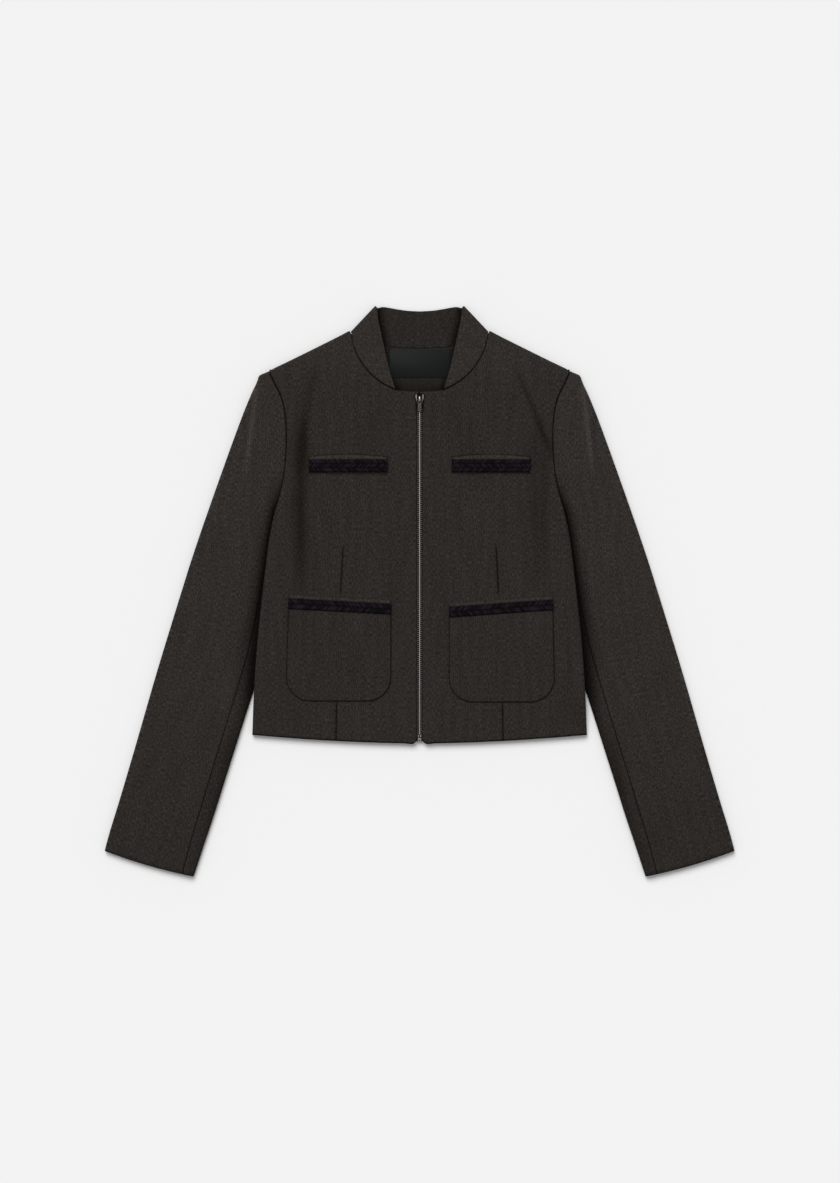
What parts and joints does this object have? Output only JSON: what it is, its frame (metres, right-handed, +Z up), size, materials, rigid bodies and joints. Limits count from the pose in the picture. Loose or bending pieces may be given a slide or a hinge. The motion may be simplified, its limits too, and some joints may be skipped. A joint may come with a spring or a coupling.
{
  "type": "short zip jacket",
  "caption": "Cropped jacket laid flat, with a set-back stand collar, a centre front zip, chest welt pockets and patch pockets trimmed with braid.",
  "frame": {"origin": "on the surface that the jacket lies on, under the middle of its box, which is on the centre front line", "axes": "+X towards the wearer's left sleeve, +Y from the hem to the collar, +Z up, out of the fronts"},
  "size_m": [0.782, 0.708, 0.0174],
  "materials": {
    "flannel": "brushed wool flannel",
    "braid": "plaited trim, dull",
    "facing": "smooth wool",
    "label": "satin",
    "zip_tape": "woven tape",
    "zip_metal": "dull nickel"
  },
  "bodies": {
    "jacket": {"front_left": "flannel", "front_right": "flannel", "back": "flannel", "collar": "flannel", "top_sleeve_left": "flannel", "top_sleeve_right": "flannel", "under_sleeve_left": "flannel", "under_sleeve_right": "flannel", "patch_pocket_left": "flannel", "patch_pocket_right": "flannel", "chest_welt_left": "flannel", "chest_welt_right": "flannel", "pocket_braid_left": "braid", "pocket_braid_right": "braid", "chest_braid_left": "braid", "chest_braid_right": "braid", "neck_facing": "facing", "neck_label": "label", "zip_tape_left": "zip_tape", "zip_tape_right": "zip_tape", "zip_chain": "zip_metal", "zip_box": "zip_metal", "zip_slider": "zip_metal"},
    "pull": {"zip_pull": "zip_metal"}
  },
  "joints": [
    {"name": "pull_swing", "type": "hinge", "parent": "jacket", "child": "pull", "pos_m": [0, 0.2374, 0.01], "axis": [-1, 0, 0], "range_deg": [0, 168]}
  ]
}
